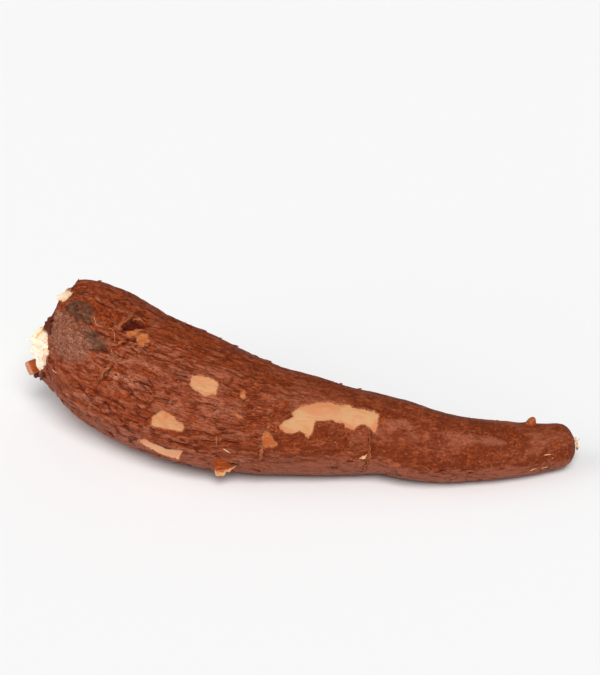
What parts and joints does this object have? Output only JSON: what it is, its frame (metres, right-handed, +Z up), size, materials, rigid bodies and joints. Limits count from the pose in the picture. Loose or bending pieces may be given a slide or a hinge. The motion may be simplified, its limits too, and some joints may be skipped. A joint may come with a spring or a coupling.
{
  "type": "cassava root",
  "caption": "Whole cassava root lying on its side, bowed, thick and snapped off at the stem end, tapering to a blunt tip.",
  "frame": {"origin": "on the resting surface, under the middle of the root's bounding box", "axes": "+Z up from the resting surface, +X along the root from the snapped stem end to the tip, +Y towards the side that the stem end bends to"},
  "size_m": [0.2677, 0.1097, 0.0676],
  "materials": {
    "skin": "rough brown bark, dry, with a faint waxy sheen"
  },
  "bodies": {
    "root": {"cassava_root": "skin"}
  },
  "joints": []
}
